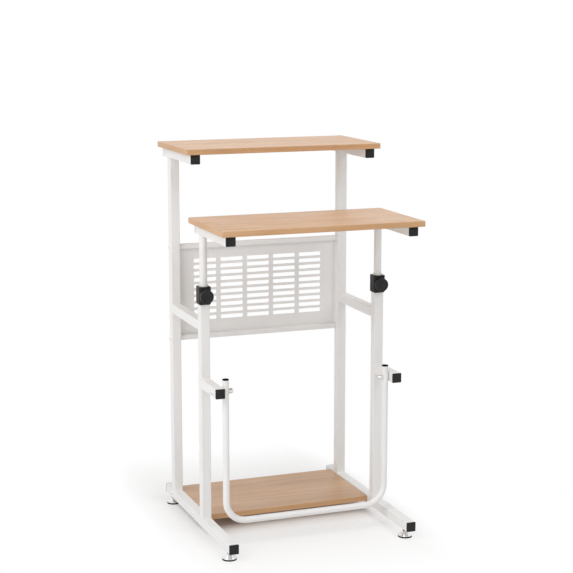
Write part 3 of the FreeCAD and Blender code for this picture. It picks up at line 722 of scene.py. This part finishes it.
def push_out(bm, face, move):
    """Extrudes one face by a move and returns the new face; its edges let it leave no wall behind."""
    grown = bmesh.ops.extrude_face_region(bm, geom=[face] + face.edges[:])["geom"]
    verts = [part for part in grown if isinstance(part, bmesh.types.BMVert)]
    bmesh.ops.translate(bm, vec=move, verts=verts)
    return next(part for part in grown if isinstance(part, bmesh.types.BMFace))


print("piece helpers ready, edges over", round(math.degrees(SHARP_EDGE)), "degrees stay sharp")

# %% [markdown]
# ## Weld beads
# A solid model joins two tubes face to face, but on the real frame a welder ran a bead of molten
# metal into each inside corner, and the paint covers it. A bead is a rod about four millimetres
# thick that swells and shrinks with each pulse of the torch.
# One end face is extruded along the corner in short steps, and each new ring is scaled up or down.

# %% Frame welds
BEAD_RADIUS = 0.0019
BEAD_SIDES = 10
BEAD_SWELL = 1.16
BEAD_PULSES = 10
BEAD_FROM_EDGE = 0.0035
SIDES = ("left", "right")


def lay_bead(bm, start, length):
    """A weld bead along X, which starts at a point in an inside corner."""
    place = Matrix.Translation(start) @ Matrix.Rotation(math.radians(90), 4, "Y")
    ring = bmesh.ops.create_circle(bm, cap_ends=True, radius=BEAD_RADIUS, segments=BEAD_SIDES, matrix=place)
    face = ring["verts"][0].link_faces[0]
    step = Vector((length / (2 * BEAD_PULSES), 0, 0))
    for pulse in range(2 * BEAD_PULSES):
        face = push_out(bm, face, step)
        swell = 1 / BEAD_SWELL if pulse % 2 else BEAD_SWELL
        centre = Matrix.Translation(-face.calc_center_median())
        bmesh.ops.scale(bm, vec=(1, swell, swell), space=centre, verts=face.verts[:])


def weld_corners(side):
    """The inside corners of one side frame, as places along Y and Z."""
    post_low, post_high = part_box(side + "_rear_post")
    column_low, column_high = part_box(side + "_front_column")
    rail_low, rail_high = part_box(side + "_mid_rail")
    arm_low, arm_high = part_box(side + "_footrest_arm")
    corners = [(y, z) for y in (post_low.y, post_high.y) for z in (post_low.z, post_high.z)]
    corners += [(y, column_low.z) for y in (column_low.y, column_high.y)]
    corners += [(y, z) for y in (rail_low.y, rail_high.y) for z in (rail_low.z, rail_high.z)]
    corners += [(arm_high.y, z) for z in (arm_low.z, arm_high.z)]
    return corners


def weld_side_frame(side):
    low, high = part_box(side + "_rear_post")
    bm = bmesh.new()
    for y, z in weld_corners(side):
        lay_bead(bm, Vector((low.x + BEAD_FROM_EDGE, y, z)), high.x - low.x - 2 * BEAD_FROM_EDGE)
    finish_piece(side + "_frame_welds", bm, "frame", "white_paint")


for side in SIDES:
    weld_side_frame(side)

# %% [markdown]
# The round lift tubes are welded under the desk arms by a bead that runs all the way round.
# A small circle set beside the tube and spun about the tube's axis makes such a ring.

# %% Lift tube welds
RING_BEAD_RADIUS = 0.0014
RING_BEAD_STEPS = 48


def weld_lift_tube(bm, side):
    low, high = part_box(side + "_lift_tube")
    centre = Vector(((low.x + high.x) / 2, (low.y + high.y) / 2, high.z))
    place = Matrix.Translation((high.x, centre.y, centre.z)) @ Matrix.Rotation(math.radians(90), 4, "X")
    ring = bmesh.ops.create_circle(bm, radius=RING_BEAD_RADIUS, segments=BEAD_SIDES, matrix=place)["verts"]
    edges = list({edge for vert in ring for edge in vert.link_edges})
    bmesh.ops.spin(bm, geom=ring + edges, cent=centre, axis=(0, 0, 1), angle=math.tau,
                   steps=RING_BEAD_STEPS, use_merge=True)


ring_beads = bmesh.new()
for side in SIDES:
    weld_lift_tube(ring_beads, side)
finish_piece("lift_tube_welds", ring_beads, "desk", "white_paint")

# %% [markdown]
# ## Screw threads
# The stems of the feet and the rods of the clamps carry a metric thread of 8 mm with a pitch of
# 1.25 mm. In the solid model they are plain rods, because a thread's turns would only slow it down.
# Here one tooth is drawn as a few edges and spun round the axis while it climbs by one pitch each
# turn, so neighbouring turns meet and can be merged. Two cuts across the axis trim the ends, and the
# open loops are then filled.

# %% Thread helpers
THREAD_RADIUS = 0.004
THREAD_DEPTH = 0.00072
THREAD_PITCH = 0.00125
THREAD_STEPS = 24
# Points along one tooth: the depth below its crest, and the share of the pitch climbed so far.
TOOTH = ((THREAD_DEPTH, 0.0), (0.0, 0.3125), (0.0, 0.4375), (THREAD_DEPTH, 0.75), (THREAD_DEPTH, 1.0))


def spun(bm, points, steps, turns=1, climb=0.0):
    """Spins a line of (radius, height) points about Z; it may climb by a pitch each turn."""
    verts = [bm.verts.new((radius, 0, height)) for radius, height in points]
    edges = [bm.edges.new(pair) for pair in zip(verts, verts[1:])]
    bmesh.ops.spin(bm, geom=verts + edges, cent=(0, 0, 0), axis=(0, 0, 1), angle=math.tau * turns,
                   dvec=(0, 0, climb / steps), steps=steps * turns, use_merge=climb == 0)
    bmesh.ops.remove_doubles(bm, verts=bm.verts[:], dist=MERGE_DISTANCE)


def cut_thread(bm, low, high):
    """A threaded rod about Z between two heights, in an empty bmesh."""
    start = low - THREAD_PITCH
    tooth = [(THREAD_RADIUS - depth, start + share * THREAD_PITCH) for depth, share in TOOTH]
    spun(bm, tooth, THREAD_STEPS, math.ceil((high - start) / THREAD_PITCH) + 1, THREAD_PITCH)
    for height, outward in ((low, -1), (high, 1)):
        everything = bm.verts[:] + bm.edges[:] + bm.faces[:]
        bmesh.ops.bisect_plane(bm, geom=everything, dist=MERGE_DISTANCE, plane_co=(0, 0, height),
                               plane_no=(0, 0, outward), clear_outer=True)
    bmesh.ops.holes_fill(bm, edges=bm.edges[:])


print("thread", 2 * THREAD_RADIUS, "m across with a pitch of", THREAD_PITCH, "m")

# %% [markdown]
# Each foot's stem has a round head that is caught inside the cone, a plain neck, a hexagon for a
# spanner and then the thread that climbs into the rail. The neck and head are spun from an outline.
# The hexagon is a six-sided face that is pushed up, with its sharp edges broken by a small bevel.
# The neck ends and the thread starts inside it, where their ends overlap unseen.

# %% Foot stems
STEM_HEAD_RADIUS = 0.005
STEM_HEAD_HEIGHT = 0.005
SPANNER_FLATS = 0.013
SPANNER_HEIGHT = 0.0035
SPANNER_ABOVE_CONE = 0.0005
BROKEN_EDGE = 0.0004
BROKEN_EDGE_STEPS = 2


def break_edges(bm, edges):
    """Rounds edges slightly, as a tumbled or chamfered part has them."""
    bmesh.ops.bevel(bm, geom=edges, offset=BROKEN_EDGE, offset_type="OFFSET", affect="EDGES",
                    segments=BROKEN_EDGE_STEPS, profile=0.5, material=-1)


def add_hexagon(bm, low, height):
    """A hexagon of spanner size about Z, with corners along X and broken edges."""
    place = Matrix.Translation((0, 0, low)) @ Matrix.Rotation(math.radians(90), 4, "Z")
    corner = SPANNER_FLATS / math.sqrt(3)
    ring = bmesh.ops.create_circle(bm, cap_ends=True, radius=corner, segments=6, matrix=place)
    bottom = ring["verts"][0].link_faces[0]
    top = push_out(bm, bottom, Vector((0, 0, height)))
    edges = {edge for vert in top.verts for edge in vert.link_edges} | set(bottom.edges)
    break_edges(bm, list(edges))


def make_stem(foot):
    low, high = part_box(foot + "_stem")
    spanner_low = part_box(foot + "_dish")[1].z + SPANNER_ABOVE_CONE
    head_top = low.z + STEM_HEAD_HEIGHT
    neck_top = spanner_low + SPANNER_HEIGHT * 2 / 3
    bm = bmesh.new()
    cut_thread(bm, spanner_low + SPANNER_HEIGHT / 3, high.z)
    head = [(0, low.z), (STEM_HEAD_RADIUS, low.z), (STEM_HEAD_RADIUS, head_top)]
    neck = [(THREAD_RADIUS, head_top), (THREAD_RADIUS, neck_top), (0, neck_top)]
    spun(bm, head + neck, THREAD_STEPS)
    add_hexagon(bm, spanner_low, SPANNER_HEIGHT)
    bmesh.ops.translate(bm, vec=((low.x + high.x) / 2, (low.y + high.y) / 2, 0), verts=bm.verts[:])
    body = foot.replace("_foot", "_stem")
    finish_piece(foot + "_threaded_stem", bm, body, "black_oxide_steel", foot + "_stem")


for foot in [end + "_" + side + "_foot" for end in ("front", "rear") for side in SIDES]:
    make_stem(foot)

# %% [markdown]
# The rods of the clamps have the same thread along their whole length, and lie from front to back.
# They are cut upright and then laid down with one turn about X.

# %% Clamp rods
def make_clamp_rod(side):
    low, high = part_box(side + "_clamp_screw")
    bm = bmesh.new()
    cut_thread(bm, low.y, high.y)
    lay_down = Matrix.Rotation(math.radians(-90), 3, "X")
    bmesh.ops.rotate(bm, cent=(0, 0, 0), matrix=lay_down, verts=bm.verts[:])
    bmesh.ops.translate(bm, vec=((low.x + high.x) / 2, 0, (low.z + high.z) / 2), verts=bm.verts[:])
    finish_piece(side + "_threaded_clamp_rod", bm, side + "_knob", "zinc_steel", side + "_clamp_screw")


for side in SIDES:
    make_clamp_rod(side)

# %% [markdown]
# The nuts under and inside the foot rails have sharp edges in the solid model. Real ones are chamfered
# so that a spanner slips on. A copy of the solids' mesh is merged, its flat triangles are joined
# into whole faces, and every sharp edge is bevelled.

# %% Foot nuts
FLAT_ENOUGH = math.radians(1)


def make_foot_nuts():
    bm = bmesh.new()
    bm.from_mesh(frame["nodes"]["foot_nuts"].data)
    bmesh.ops.remove_doubles(bm, verts=bm.verts[:], dist=MERGE_DISTANCE)
    bmesh.ops.dissolve_limit(bm, angle_limit=FLAT_ENOUGH, verts=bm.verts[:], edges=bm.edges[:])
    break_edges(bm, [edge for edge in bm.edges if edge.calc_face_angle(0) > SHARP_EDGE])
    finish_piece("chamfered_foot_nuts", bm, "frame", "black_oxide_steel", "foot_nuts")


make_foot_nuts()

# %% [markdown]
# ## Faces of the end plugs
# The square plugs are moulded with a low raised panel on the face, which hides the sink mark of the
# ribs behind it. A square face with rounded corners is pushed out a little and then inset, so its
# edge slopes down to the plug. It starts inside the plug, so that no gap shows behind it.

# %% Plug faces
PLUG_CAP = 0.003
PLUG_ROOT = 0.001
PLUG_FACE_WIDTH = 0.0205
PLUG_FACE_CORNER = 0.003
PLUG_FACE_CORNER_STEPS = 5
PLUG_FACE_PROUD = 0.0005
PLUG_FACE_SLOPE = 0.0009


def raise_plug_face(bm, centre, outward):
    """A low panel on a plug that faces along Y, forwards at -1 and backwards at 1."""
    turn = Matrix.Rotation(math.radians(-90 * outward), 4, "X") @ Matrix.Rotation(math.radians(45), 4, "Z")
    place = Matrix.Translation(centre - Vector((0, outward * PLUG_ROOT, 0))) @ turn
    corner = PLUG_FACE_WIDTH / math.sqrt(2)
    square = bmesh.ops.create_circle(bm, cap_ends=True, radius=corner, segments=4, matrix=place)
    rounded = bmesh.ops.bevel(bm, geom=square["verts"], offset=PLUG_FACE_CORNER, offset_type="OFFSET",
                              affect="VERTICES", segments=PLUG_FACE_CORNER_STEPS, profile=0.5, material=-1)
    face = rounded["verts"][0].link_faces[0]
    face = push_out(bm, face, Vector((0, outward * (PLUG_ROOT + PLUG_FACE_PROUD / 2), 0)))
    bmesh.ops.inset_region(bm, faces=[face], thickness=PLUG_FACE_SLOPE, depth=PLUG_FACE_PROUD / 2)


def make_plug_faces(tube, body, ends):
    """Panels on the plugs of the left and right tube of one kind, at some of its ends."""
    bm = bmesh.new()
    for side in SIDES:
        low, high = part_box(side + "_" + tube)
        middle = (low + high) / 2
        for outward in ends:
            y = low.y - PLUG_CAP if outward < 0 else high.y + PLUG_CAP
            raise_plug_face(bm, Vector((middle.x, y, middle.z)), outward)
    finish_piece(tube + "_plug_faces", bm, body, "black_plastic")


make_plug_faces("shelf_arm", "frame", ends=(-1, 1))
make_plug_faces("desk_arm", "desk", ends=(-1, 1))
make_plug_faces("foot_rail", "frame", ends=(-1, 1))
make_plug_faces("footrest_arm", "frame", ends=(-1,))
